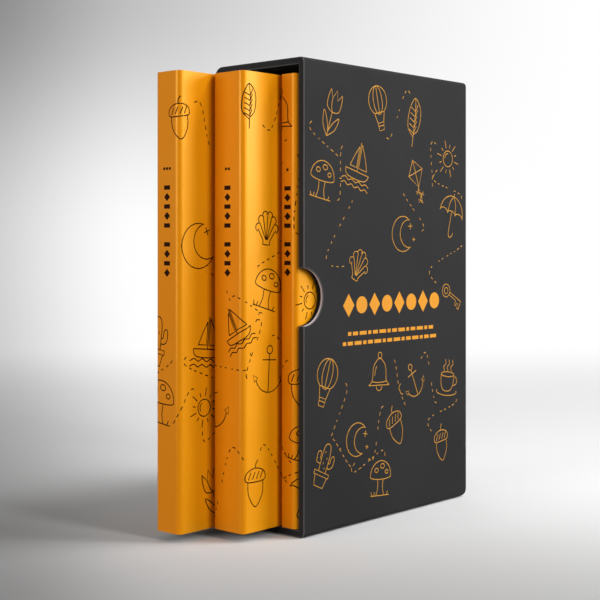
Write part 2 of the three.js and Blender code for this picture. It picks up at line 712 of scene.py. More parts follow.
@dataclass
class Book:
    """One soft-cover book: a sheet of card round a block of pages."""

    name: str
    finishes: dict[str, Material]
    card: float = 0.5 * MM
    card_edge: float = 0.06 * MM
    card_edge_faces: int = 2
    spine_corner: float = SPINE_CORNER
    cover_corner_faces: int = 16
    page_corner_faces: int = 6
    page_gap: float = 0.1 * MM
    leaf_band: float = 0.3 * MM
    leaf_ridge: float = 0.05 * MM
    low: Vector = field(init=False)
    high: Vector = field(init=False)

    def __post_init__(self) -> None:
        """Takes the outside from the frame."""
        self.low, self.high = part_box(f"{self.name}_cover")

    def build(self) -> list[Piece]:
        """Models the cover and the pages.

        Returns:
            The finished pieces.
        """
        cover = self._cover()
        pages = self._pages()
        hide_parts(f"{self.name}_cover")
        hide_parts(f"{self.name}_pages")
        for piece in (cover, pages):
            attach(piece, self.name)
        return [cover, pages]

    def _round_spine(self, block: Piece, radius: float, segments: int) -> None:
        """Rounds the two upright edges at the spine.

        Args:
            block: The book's block.
            radius: The rounding's radius.
            segments: The number of faces across the rounding.
        """
        spine = block.bound_box[0][1]
        with edit_mode(block, "EDGE") as mesh:
            select_edges(mesh, 2, lambda middle: abs(middle.y - spine) < TOUCH)
            bpy.ops.mesh.bevel(offset=radius, segments=segments, affect="EDGES")

    def _cover(self) -> Piece:
        """Models the card, folded round the spine in a U.

        Returns:
            The finished cover.
        """
        cover = add_block(f"{self.name}_cover_card", self.low, self.high)
        self._round_spine(cover, self.spine_corner, self.cover_corner_faces)
        with edit_mode(cover, "FACE") as mesh:
            select_faces(mesh, self._on_trimmed_side)
            bpy.ops.mesh.delete(type="FACE")
        cover.data.materials.append(self.finishes["card"])
        cover.data.materials.append(self.finishes["card_inside"])
        apply_modifier(
            cover,
            "SOLIDIFY",
            thickness=self.card,
            offset=-1,
            use_even_offset=True,
            material_offset=1,
        )
        round_edges(cover, self.card_edge, self.card_edge_faces, self._on_trimmed_side)
        shade(cover)
        self._mark_spine_shade(cover)
        return cover

    def _mark_spine_shade(self, cover: Piece) -> None:
        """Stores how far each point of the cover takes the spine's painted shade, from 0 to 1.

        Args:
            cover: The finished cover.
        """
        share = cover.data.attributes.new(SPINE_SHADE_SHARE, "FLOAT", "POINT")
        for vertex, value in zip(cover.data.vertices, share.data):
            value.value = max(0.0, 1 - (vertex.co.y - self.low.y) / self.spine_corner)

    def _on_trimmed_side(self, place: Vector) -> bool:
        """Says whether a point lies on the fore edge, the foot or the head of the book.

        Args:
            place: The point.

        Returns:
            True on one of the three.
        """
        gaps = (place.y - self.high.y, place.z - self.low.z, place.z - self.high.z)
        return min(map(abs, gaps)) < TOUCH

    def _pages(self) -> Piece:
        """Models the pages as one block, with the ridges of the leaves on its three trimmed sides.

        Returns:
            The finished block.
        """
        inset = self.card + self.page_gap
        low = self.low + Vector((inset, inset, 0))
        high = self.high - Vector((inset, 0, 0))
        pages = add_block(f"{self.name}_leaves", low, high)
        bands = round((high.x - low.x) / self.leaf_band / 2) * 2
        with edit_mode(pages, "EDGE") as mesh:
            select_edges(mesh, 0, lambda middle: True)
            bpy.ops.mesh.subdivide(number_cuts=bands - 1)
        self._ridge_leaves(pages, low, high, bands)
        past = Vector((0, self.spine_corner, self.spine_corner))
        rounded = add_block("rounded_pages", low - Vector((0, 0, past.z)), high + past)
        self._round_spine(rounded, self.spine_corner - inset, self.page_corner_faces)
        combine(pages, rounded, "INTERSECT")
        pages.data.materials.append(self.finishes["pages"])
        return pages

    def _ridge_leaves(self, pages: Piece, low: Vector, high: Vector, bands: int) -> None:
        """Draws every second row of points in a little from head, tail and fore edge.

        Args:
            pages: The block, cut into bands across its thickness.
            low: The block's lowest corner.
            high: The block's highest corner.
            bands: The number of bands.
        """
        step = (high.x - low.x) / bands
        size = high - low
        shrink = Vector((1, 1 - self.leaf_ridge / size.y, 1 - 2 * self.leaf_ridge / size.z))
        with edit_mode(pages, "VERT") as mesh:
            for vertex in mesh.verts:
                row = round((vertex.co.x - low.x) / step)
                vertex.select_set(row % 2 == 1)
            fixed = (0, low.y, (low.z + high.z) / 2)
            bpy.ops.transform.resize(value=shrink, center_override=fixed)


# The drawings


@dataclass
class Stroke:
    """One line or filled outline of a drawing, as points of a flat sheet."""

    points: list[Point]
    closed: bool = False
    filled: bool = False

    def placed(self, centre: Point, size: float, turn: float) -> "Stroke":
        """Scales, turns and moves a stroke.

        Args:
            centre: Where the stroke's own origin goes.
            size: The length of one unit of the stroke.
            turn: The turn, anticlockwise, in radians.

        Returns:
            The new stroke.
        """
        cos, sin = math.cos(turn) * size, math.sin(turn) * size
        moved = [(centre[0] + x * cos - y * sin, centre[1] + x * sin + y * cos) for x, y in self.points]
        return Stroke(moved, self.closed, self.filled)


def line(*points: Point, closed: bool = False) -> Stroke:
    """Joins points with straight lines."""
    return Stroke(list(points), closed)


def plate(*points: Point) -> Stroke:
    """Joins points into a solid shape."""
    return Stroke(list(points), closed=True, filled=True)


def bar(left: float, foot: float, right: float, head: float) -> Stroke:
    """Draws a solid rectangle between its four sides."""
    return plate((left, foot), (right, foot), (right, head), (left, head))


def lozenge(x: float, y: float, half_width: float, half_height: float) -> Stroke:
    """Draws a solid lozenge about its middle."""
    return plate((x, y - half_height), (x + half_width, y), (x, y + half_height), (x - half_width, y))


def oval(x: float, y: float, across: float, high: float = 0.0, filled: bool = False) -> Stroke:
    """Draws a whole circle or oval.

    Args:
        x: The centre's place across.
        y: The centre's place up.
        across: The half width.
        high: The half height, or 0 for a circle.
        filled: Whether the inside is filled.

    Returns:
        The stroke.
    """
    whole = bow(x, y, across, 0, 360, high)
    return Stroke(whole.points[:-1], True, filled)


def bow(x: float, y: float, across: float, start: float, end: float, high: float = 0.0) -> Stroke:
    """Draws part of a circle or oval.

    Args:
        x: The centre's place across.
        y: The centre's place up.
        across: The half width.
        start: The first angle in degrees.
        end: The last angle in degrees.
        high: The half height, or 0 for a circle.

    Returns:
        The stroke.
    """
    steps = max(FEWEST_ARC_STEPS, round(abs(end - start) / ARC_STEP_DEGREES))
    angles = [math.radians(start + (end - start) * step / steps) for step in range(steps + 1)]
    return Stroke([(x + across * math.cos(a), y + (high or across) * math.sin(a)) for a in angles])


def flow(*points: Point, closed: bool = False, steps: int = 5) -> Stroke:
    """Draws a smooth curve through points.

    Args:
        points: The points to pass through.
        closed: Whether the last point leads back to the first.
        steps: The number of straight pieces between two points.

    Returns:
        The stroke.
    """
    count = len(points)
    spans = count if closed else count - 1

    def pick(index: int) -> Point:
        """Gives a point by its number, past either end too."""
        return points[index % count] if closed else points[min(max(index, 0), count - 1)]

    drawn = []
    for span in range(spans):
        before, start, end, after = (pick(span + offset) for offset in (-1, 0, 1, 2))
        for step in range(steps):
            t = step / steps
            drawn.append(
                tuple(
                    0.5 * (
                        2 * s + (e - b) * t
                        + (2 * b - 5 * s + 4 * e - a) * t * t
                        + (3 * s - b - 3 * e + a) * t ** 3
                    )
                    for b, s, e, a in zip(before, start, end, after)
                )
            )
    if not closed:
        drawn.append(points[-1])
    return Stroke(drawn, closed)


def mirrored(stroke: Stroke) -> Stroke:
    """Gives a stroke's mirror image, left to right."""
    return Stroke([(-x, y) for x, y in stroke.points], stroke.closed, stroke.filled)


def both(*strokes: Stroke) -> list[Stroke]:
    """Gives strokes and their mirror images."""
    return [*strokes, *map(mirrored, strokes)]


def sun() -> list[Stroke]:
    """Draws a sun with long and short rays."""
    rays = []
    for number in range(12):
        angle = math.tau * number / 12
        reach = 0.98 if number % 2 == 0 else 0.78
        rays.append(
            line(*((r * math.cos(angle), r * math.sin(angle)) for r in (0.58, reach)))
        )
    return [oval(0, 0, 0.42), bow(0, 0, 0.28, 100, 190), *rays]


def moon() -> list[Stroke]:
    """Draws a crescent moon with two sparks."""
    sparks = [
        line((x - dx, y - dy), (x + dx, y + dy))
        for x, y, reach in ((0.5, 0.35, 0.16), (0.75, -0.3, 0.11))
        for dx, dy in ((reach, 0), (0, reach))
    ]
    crescent = bow(-0.1, 0, 0.85, 50, 310).points + bow(0.35, 0, 0.67, 280, 80).points
    return [Stroke(crescent, True), *sparks]


def umbrella() -> list[Stroke]:
    """Draws an open umbrella."""
    hem = [bow(x, 0.1, 0.3, 180, 0, 0.16) for x in (-0.6, 0.0, 0.6)]
    ribs = both(flow((-0.3, 0.1), (-0.22, 0.62), (0, 0.95)))
    return [bow(0, 0.1, 0.9, 0, 180, 0.85), *hem, *ribs, line((0, 0.95), (0, 1.08)),
            flow((0, 0.24), (0, -0.75), (0.12, -0.95), (0.3, -0.85), (0.32, -0.7))]


def kite() -> list[Stroke]:
    """Draws a kite with bows on its tail."""
    tail = ((0, -0.25), (-0.12, -0.45), (0.1, -0.65), (-0.1, -0.85), (0.05, -1.05))
    bows = [line((x - 0.13, y - 0.08), (x - 0.13, y + 0.08), (x + 0.13, y - 0.08), (x + 0.13, y + 0.08),
                 closed=True) for x, y in tail[1:4]]
    return [line((0, 1.05), (0.55, 0.45), (0, -0.25), (-0.55, 0.45), closed=True),
            line((0, 1.05), (0, -0.25)), line((-0.55, 0.45), (0.55, 0.45)), flow(*tail), *bows]


def mushroom() -> list[Stroke]:
    """Draws a spotted mushroom in grass."""
    cap = bow(0, 0.1, 0.85, 0, 180, 0.8).points + bow(0, 0.1, 0.85, 180, 360, 0.16).points[1:-1]
    stalk = both(flow((-0.22, -0.05), (-0.2, -0.5), (-0.32, -0.88)))
    grass = [line((x, -0.88), (x + lean, -0.68)) for x, lean in ((-0.65, -0.08), (-0.5, 0.05), (0.55, 0.08))]
    return [Stroke(cap, True), *stalk, line((-0.75, -0.88), (0.75, -0.88)), *grass,
            oval(-0.35, 0.42, 0.14, 0.11), oval(0.12, 0.62, 0.16, 0.12), oval(0.48, 0.32, 0.12, 0.1)]


def cup() -> list[Stroke]:
    """Draws a steaming cup on its saucer."""
    steam = [flow((x, 0.42), (x - 0.09, 0.6), (x + 0.08, 0.78), (x, 0.98)) for x in (-0.25, 0.05, 0.35)]
    bowl = flow((-0.5, 0.25), (-0.45, -0.25), (-0.2, -0.55), (0.3, -0.55), (0.55, -0.25), (0.6, 0.25))
    handle = bow(0.62, -0.05, 0.25, 80, -110, 0.22)
    saucer = bow(0.05, -0.6, 0.85, 160, 380, 0.2)
    return [oval(0.05, 0.25, 0.55, 0.12), bowl, handle, saucer, *steam]


def key() -> list[Stroke]:
    """Draws an old key."""
    return [oval(-0.6, 0, 0.36), oval(-0.6, 0, 0.17), line((-0.25, 0.08), (0.95, 0.08)),
            line((-0.25, -0.08), (0.5, -0.08), (0.5, -0.36), (0.63, -0.36), (0.63, -0.16), (0.76, -0.16),
                 (0.76, -0.42), (0.95, -0.42), (0.95, 0.08))]


def cactus() -> list[Stroke]:
    """Draws a cactus in a pot."""
    ticks = [line((x, y), (x, y + 0.09)) for x, y in ((-0.08, 0.5), (0.1, 0.25), (-0.07, 0), (0.08, -0.2))]
    arms = [flow((-0.24, -0.02), (-0.5, 0), (-0.56, 0.2), (-0.55, 0.42), (-0.42, 0.5), (-0.34, 0.36),
                 (-0.34, 0.22), (-0.24, 0.18)),
            flow((0.24, 0.12), (0.36, 0.14), (0.38, 0.38), (0.5, 0.5), (0.6, 0.38), (0.58, 0.05),
                 (0.42, -0.1), (0.24, -0.1))]
    trunk = flow((-0.24, -0.35), (-0.25, 0.5), (-0.13, 0.88), (0.13, 0.88), (0.25, 0.5), (0.24, -0.35))
    rim = line((-0.5, -0.35), (0.5, -0.35), (0.5, -0.52), (-0.5, -0.52), closed=True)
    return [trunk, *arms, *ticks, rim, line((-0.42, -0.52), (-0.3, -1), (0.3, -1), (0.42, -0.52))]


def anchor() -> list[Stroke]:
    """Draws an anchor."""
    fluke = line((-0.62, -0.28), (-0.88, -0.18), (-0.8, -0.46), closed=True)
    return [oval(0, 0.82, 0.16), line((0, 0.66), (0, -0.86)), line((-0.38, 0.42), (0.38, 0.42)),
            bow(0, -0.1, 0.76, 200, 340), *both(fluke)]


def boat() -> list[Stroke]:
    """Draws a small sailing boat on the waves."""
    waves = [flow(*((-0.9 + 0.225 * k, y + (0.06 if k % 2 else -0.04)) for k in range(9)))
             for y in (-0.72, -0.94)]
    hull = flow((-0.75, -0.28), (-0.55, -0.58), (0.5, -0.58), (0.8, -0.28))
    mainsail = flow((0.07, 0.92), (0.42, 0.35), (0.62, -0.12))
    foresail = flow((-0.07, 0.8), (-0.3, 0.35), (-0.5, -0.12))
    return [hull, line((-0.75, -0.28), (0.8, -0.28)), line((0, -0.28), (0, 0.98)),
            mainsail, line((0.62, -0.12), (0.07, -0.12), (0.07, 0.92)),
            foresail, line((-0.5, -0.12), (-0.07, -0.12), (-0.07, 0.8)), *waves]


def balloon() -> list[Stroke]:
    """Draws a hot-air balloon."""
    seams = [*both(bow(0, 0.35, 0.3, 90, 262, 0.62)), line((0, 0.97), (0, -0.27))]
    ropes = [line((-0.33, -0.18), (-0.2, -0.62)), line((0.33, -0.18), (0.2, -0.62))]
    basket = line((-0.2, -0.62), (0.2, -0.62), (0.16, -0.95), (-0.16, -0.95), closed=True)
    return [bow(0, 0.35, 0.62, -58, 238), *ropes, line((-0.33, -0.18), (0.33, -0.18)), *seams,
            basket, line((-0.18, -0.76), (0.18, -0.76))]


def feather() -> list[Stroke]:
    """Draws a feather."""
    barbs = [line((0.1 * k - 0.35, 0.22 * k - 0.45), (0.1 * k - 0.35 + side * 0.27, 0.22 * k - 0.2))
             for k in range(5) for side in (-1, 1)]
    return [flow((-0.6, -1), (-0.35, -0.45), (0.05, 0.45), (0.2, 0.98)), *barbs,
            flow((-0.42, -0.6), (-0.66, -0.15), (-0.5, 0.35), (-0.2, 0.75), (0.2, 0.98), (0.42, 0.5),
                 (0.3, 0.05), (0, -0.38), (-0.36, -0.5))]


def bell() -> list[Stroke]:
    """Draws a hand bell."""
    side = flow((-0.72, -0.52), (-0.5, -0.3), (-0.42, 0.3), (-0.14, 0.62), (0, 0.66))
    return [*both(side), line((-0.72, -0.52), (0.72, -0.52)), bow(0, -0.56, 0.2, 180, 360),
            oval(0, 0.8, 0.13), bow(0, -0.3, 0.55, 200, 340, 0.1), bow(-0.05, -0.1, 0.28, 120, 180, 0.5)]


def acorn() -> list[Stroke]:
    """Draws an acorn with its stalk."""
    hatch = [line((x, 0.2), (x + 0.16, 0.5)) for x in (-0.42, -0.18, 0.06, 0.28)]
    cap = flow((-0.55, 0.15), (-0.5, 0.5), (0, 0.66), (0.5, 0.5), (0.55, 0.15), (0, 0.08), closed=True)
    nut = flow((-0.45, 0.1), (-0.4, -0.45), (0, -0.95), (0.4, -0.45), (0.45, 0.1))
    return [cap, *hatch, nut, flow((0, 0.64), (0.04, 0.85), (0.16, 0.98))]


def tulip() -> list[Stroke]:
    """Draws a tulip."""
    leaf = flow((0, -0.95), (-0.38, -0.55), (-0.48, -0.02), (-0.18, -0.35), (0, -0.75))
    return [line((0, -0.95), (0, 0.08)), *both(leaf),
            flow((0, 0.06), (-0.36, 0.2), (-0.42, 0.6), (-0.36, 0.95)),
            flow((0, 0.06), (0.36, 0.2), (0.42, 0.6), (0.36, 0.95)),
            line((-0.36, 0.95), (-0.16, 0.62), (0, 1.0), (0.16, 0.62), (0.36, 0.95)),
            flow((-0.16, 0.62), (-0.12, 0.3), (0, 0.06))]


def shell() -> list[Stroke]:
    """Draws a fan shell."""
    scallops = []
    for degrees in range(20, 161, 28):
        a = math.radians(degrees)
        scallops.append(
            bow(0.62 * math.cos(a), -0.35 + 0.95 * math.sin(a), 0.2, degrees - 95, degrees + 95)
        )
    ribs = [line((0.06 * math.cos(a), -0.6), (0.6 * math.cos(a), -0.35 + 0.92 * math.sin(a)))
            for a in (math.radians(34 + 28 * k) for k in range(5))]
    base = flow((-0.62, -0.1), (-0.25, -0.62), (-0.22, -0.82), (0.22, -0.82), (0.25, -0.62), (0.62, -0.1))
    return [*scallops, *ribs, base]


class Motif(Enum):
    """The small pictures of the print."""

    UMBRELLA = (umbrella,)
    SUN = (sun,)
    ANCHOR = (anchor,)
    MUSHROOM = (mushroom,)
    KITE = (kite,)
    CUP = (cup,)
    KEY = (key,)
    BALLOON = (balloon,)
    TULIP = (tulip,)
    MOON = (moon,)
    CACTUS = (cactus,)
    BOAT = (boat,)
    FEATHER = (feather,)
    BELL = (bell,)
    ACORN = (acorn,)
    SHELL = (shell,)

    def strokes(self) -> list[Stroke]:
        """Draws the motif about its own middle, two units across."""
        return self.value[0]()


@dataclass
class Zone:
    """A rectangle of a sheet, such as one that is left clear of motifs."""

    left: float
    foot: float
    right: float
    head: float

    def holds(self, point: Point, margin: float = 0.0) -> bool:
        """Says whether a point lies in the zone, or within a margin of it.

        Args:
            point: The point.
            margin: How far past the zone still counts.

        Returns:
            True if it does.
        """
        across = self.left - margin < point[0] < self.right + margin
        return across and self.foot - margin < point[1] < self.head + margin


@dataclass
class Drawing:
    """A flat sheet of line drawings, made into ink that lies slightly proud of the paper.

    Motifs lean by up to `lean` radians, and a route swings aside by a share of its length.
    """

    sheet: Zone
    clear: list[Zone]
    seed: int
    motif_size: float = 20 * MM
    spacing: float = 5 * MM
    tries: int = 900
    longest_route: float = 48 * MM
    reach_shares: tuple[float, float] = (0.42, 0.56)
    lean: float = 0.5
    swing_shares: tuple[float, float] = (0.25, 0.5)
    swing_places: tuple[float, float] = (0.33, 0.67)
    route_steps: int = 40
    line_width: float = 0.48 * MM
    relief: float = 0.03 * MM
    dash: float = 2.1 * MM
    dash_gap: float = 1.2 * MM
    shortest_dash: float = 0.84 * MM
    motif_clearance: float = 1.12
    margin: float = 1.5 * MM
    strokes: list[Stroke] = field(default_factory=list)
    places: list[tuple[Point, float]] = field(default_factory=list)

    def scatter(self) -> None:
        """Fills the sheet with motifs at random places that lie free, and wanders dashes between them."""
        chance = random.Random(self.seed)
        motifs = list(Motif)
        chance.shuffle(motifs)
        for _ in range(self.tries):
            place = (
                chance.uniform(self.sheet.left, self.sheet.right),
                chance.uniform(self.sheet.foot, self.sheet.head),
            )
            reach = self.motif_size * chance.uniform(*self.reach_shares)
            turn = chance.uniform(-self.lean, self.lean)
            if self._is_free(place, reach):
                self.set_motif(motifs[len(self.places) % len(motifs)], place, reach, turn)
        for number, (place, _) in enumerate(self.places[:-1]):
            nearest = min(self.places[number + 1:], key=lambda other: math.dist(place, other[0]))
            self._wander(place, nearest[0], chance)

    def set_motif(self, motif: Motif, place: Point, reach: float, turn: float) -> None:
        """Draws one motif.

        Args:
            motif: The motif.
            place: Its middle.
            reach: Its half size.
            turn: Its turn in radians.
        """
        self.strokes += [stroke.placed(place, reach, turn) for stroke in motif.strokes()]
        self.places.append((place, reach))

    def _is_free(self, place: Point, reach: float) -> bool:
        """Says whether a motif fits at a place.

        Args:
            place: Its middle.
            reach: Its half size.

        Returns:
            True if it lies on the sheet, off the clear zones and off the other motifs.
        """
        on_sheet = self.sheet.holds(place, -reach - self.margin)
        off_zones = not any(zone.holds(place, reach) for zone in self.clear)
        off_others = all(
            math.dist(place, other) > reach + other_reach + self.spacing
            for other, other_reach in self.places
        )
        return on_sheet and off_zones and off_others

    def _wander(self, start: Point, end: Point, chance: random.Random) -> None:
        """Draws a dashed line that swings from one motif towards another.

        Args:
            start: Where it starts.
            end: Where it ends.
            chance: The source of the swing.
        """
        span = (end[0] - start[0], end[1] - start[1])
        length = math.hypot(*span)
        if length > self.longest_route:
            return
        swings = [chance.uniform(*self.swing_shares) * side * length for side in (1, -1)]
        if chance.random() < 0.5:
            swings.reverse()
        middle = [
            (
                start[0] + span[0] * share - span[1] / length * swing,
                start[1] + span[1] * share + span[0] / length * swing,
            )
            for share, swing in zip(self.swing_places, swings)
        ]
        self._add_dashes(flow(start, *middle, end, steps=self.route_steps).points)

    def _add_dashes(self, route: list[Point]) -> None:
        """Cuts a route into dashes and keeps those that lie in the open.

        Args:
            route: The points of the route, close together.
        """
        travelled, dash = 0.0, [route[0]]
        for before, point in zip(route, route[1:]):
            travelled += math.dist(before, point)
            if travelled % (self.dash + self.dash_gap) < self.dash:
                dash.append(point)
            else:
                self._keep_dash(dash)
                dash = []
        self._keep_dash(dash)

    def _keep_dash(self, dash: list[Point]) -> None:
        """Keeps a dash if it is long enough and clear of motifs, clear zones and the sheet's edge.

        Args:
            dash: The dash's points.
        """
        if len(dash) < 2 or math.dist(dash[0], dash[-1]) < self.shortest_dash:
            return
        for point in (dash[0], dash[-1]):
            near_motif = any(
                math.dist(point, place) < reach * self.motif_clearance for place, reach in self.places
            )
            if near_motif or not self.sheet.holds(point, -self.margin):
                return
            if any(zone.holds(point) for zone in self.clear):
                return
        self.strokes.append(Stroke([dash[0], dash[len(dash) // 2], dash[-1]]))

    def _curve(self, name: str, strokes: list[Stroke], filled: bool) -> Piece:
        """Turns strokes into a mesh of thin lines, or of thin plates where they are filled.

        Args:
            name: The object's name.
            strokes: The strokes.
            filled: Whether they are plates.

        Returns:
            The mesh object, flat about z = 0.
        """
        bpy.ops.object.select_all(action="DESELECT")
        bpy.ops.curve.primitive_bezier_curve_add()
        curve = bpy.context.object
        curve.name = name
        data = curve.data
        data.splines.clear()
        data.resolution_u = 1
        if filled:
            data.dimensions = "2D"
            data.fill_mode = "BOTH"
            data.extrude = self.relief
        else:
            data.dimensions = "3D"
            data.twist_mode = "Z_UP"
            data.fill_mode = "FULL"
            data.bevel_depth = self.line_width / 2
            data.bevel_resolution = 0
            data.use_fill_caps = True
        for stroke in strokes:
            spline = data.splines.new("POLY")
            spline.points.add(len(stroke.points) - 1)
            for target, (x, y) in zip(spline.points, stroke.points):
                target.co = (x, y, 0, 1)
            spline.use_cyclic_u = stroke.closed
        make_active(curve)
        bpy.ops.object.convert(target="MESH")
        if not filled:
            curve.scale.z = 2 * self.relief / self.line_width
            apply_place(curve)
        return curve

    def build(self, name: str, line_ink: Material, solid_ink: Material) -> Piece:
        """Makes the whole drawing one mesh.

        Args:
            name: The object's name.
            line_ink: The ink of the lines.
            solid_ink: The ink of the filled shapes.

        Returns:
            The mesh object, flat about z = 0, with the sheet's x and y as its own.
        """
        drawn = self._curve(name, [s for s in self.strokes if not s.filled], False)
        drawn.data.materials.append(line_ink)
        solid = [s for s in self.strokes if s.filled]
        if solid:
            plates = self._curve(f"{name}_plates", solid, True)
            plates.data.materials.append(solid_ink)
            make_active(drawn)
            plates.select_set(True)
            bpy.ops.object.join()
        return drawn


@dataclass
class CasePrint:
    """The gold drawings on a side panel of the case, with a solid ornament where a title would be."""

    name: str
    side: int
    line_ink: Material
    solid_ink: Material
    seed: int
    ornament: bool
    panel_margin: float = 4.5 * MM
    notch_reach: float = 15 * MM
    ornament_left: float = 24.5 * MM
    ornament_right: float = 96 * MM
    ornament_foot: float = 90.5 * MM
    ornament_head: float = 100.5 * MM
    ornament_margin: float = 2 * MM
    ornament_shapes: int = 8
    shape_share: float = 0.42
    rule_heights: tuple[float, float] = (83.2 * MM, 79 * MM)
    rule_insets: tuple[float, float] = (4 * MM, 0.5 * MM)
    rule_half_height: float = 0.8 * MM
    rule_dashes: tuple[float, float, float] = (2.2 * MM, 3.5 * MM, 4.8 * MM)
    rule_gap: float = 1.1 * MM
    shortest_rest: float = 2 * MM

    def build(self) -> Piece:
        """Draws the panel's print and lays it on the panel.

        Returns:
            The finished piece.
        """
        low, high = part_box("slipcase")
        depth, height = high.y - low.y, high.z - low.z
        sheet = Zone(0, self.panel_margin, depth, height - self.panel_margin)
        drawing = Drawing(sheet, self._clear_zones(height / 2), self.seed)
        drawing.scatter()
        if self.ornament:
            self._add_ornament(drawing)
        print_piece = drawing.build(self.name, self.line_ink, self.solid_ink)
        start = low.y if self.side > 0 else high.y
        face = high.x if self.side > 0 else low.x
        print_piece.matrix_world = Matrix((
            (0, 0, self.side, face),
            (self.side, 0, 0, start),
            (0, 1, 0, low.z),
            (0, 0, 0, 1),
        ))
        apply_place(print_piece)
        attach(print_piece, "case")
        return print_piece

    def _clear_zones(self, middle: float) -> list[Zone]:
        """Gives the zones that stay clear of motifs: the ornament's and the thumb notch's.

        Args:
            middle: The height of the notch's middle.

        Returns:
            The zones, or none on the panel without ornament.
        """
        if not self.ornament:
            return []
        top = self.ornament_head + self.ornament_margin
        return [
            Zone(self.ornament_left, self.rule_heights[1], self.ornament_right, top),
            Zone(0, middle - self.notch_reach, self.notch_reach, middle + self.notch_reach),
        ]

    def _add_ornament(self, drawing: Drawing) -> None:
        """Adds the row of solid lozenges and discs, and two rules of dashes under it.

        Args:
            drawing: The drawing to add to.
        """
        pitch = (self.ornament_right - self.ornament_left) / self.ornament_shapes
        half_width = pitch * self.shape_share
        half_height = (self.ornament_head - self.ornament_foot) / 2
        y = self.ornament_foot + half_height
        for number in range(self.ornament_shapes):
            x = self.ornament_left + pitch * (number + 0.5)
            if number % 2:
                drawing.strokes.append(oval(x, y, half_width, filled=True))
            else:
                drawing.strokes.append(lozenge(x, y, half_width, half_height))
        for height, inset in zip(self.rule_heights, self.rule_insets):
            foot, head = height - self.rule_half_height, height + self.rule_half_height
            lengths = cycle(self.rule_dashes)
            x = self.ornament_left + inset
            while x < self.ornament_right - inset - self.shortest_rest:
                end = x + next(lengths)
                drawing.strokes.append(bar(x, foot, end, head))
                x = end + self.rule_gap


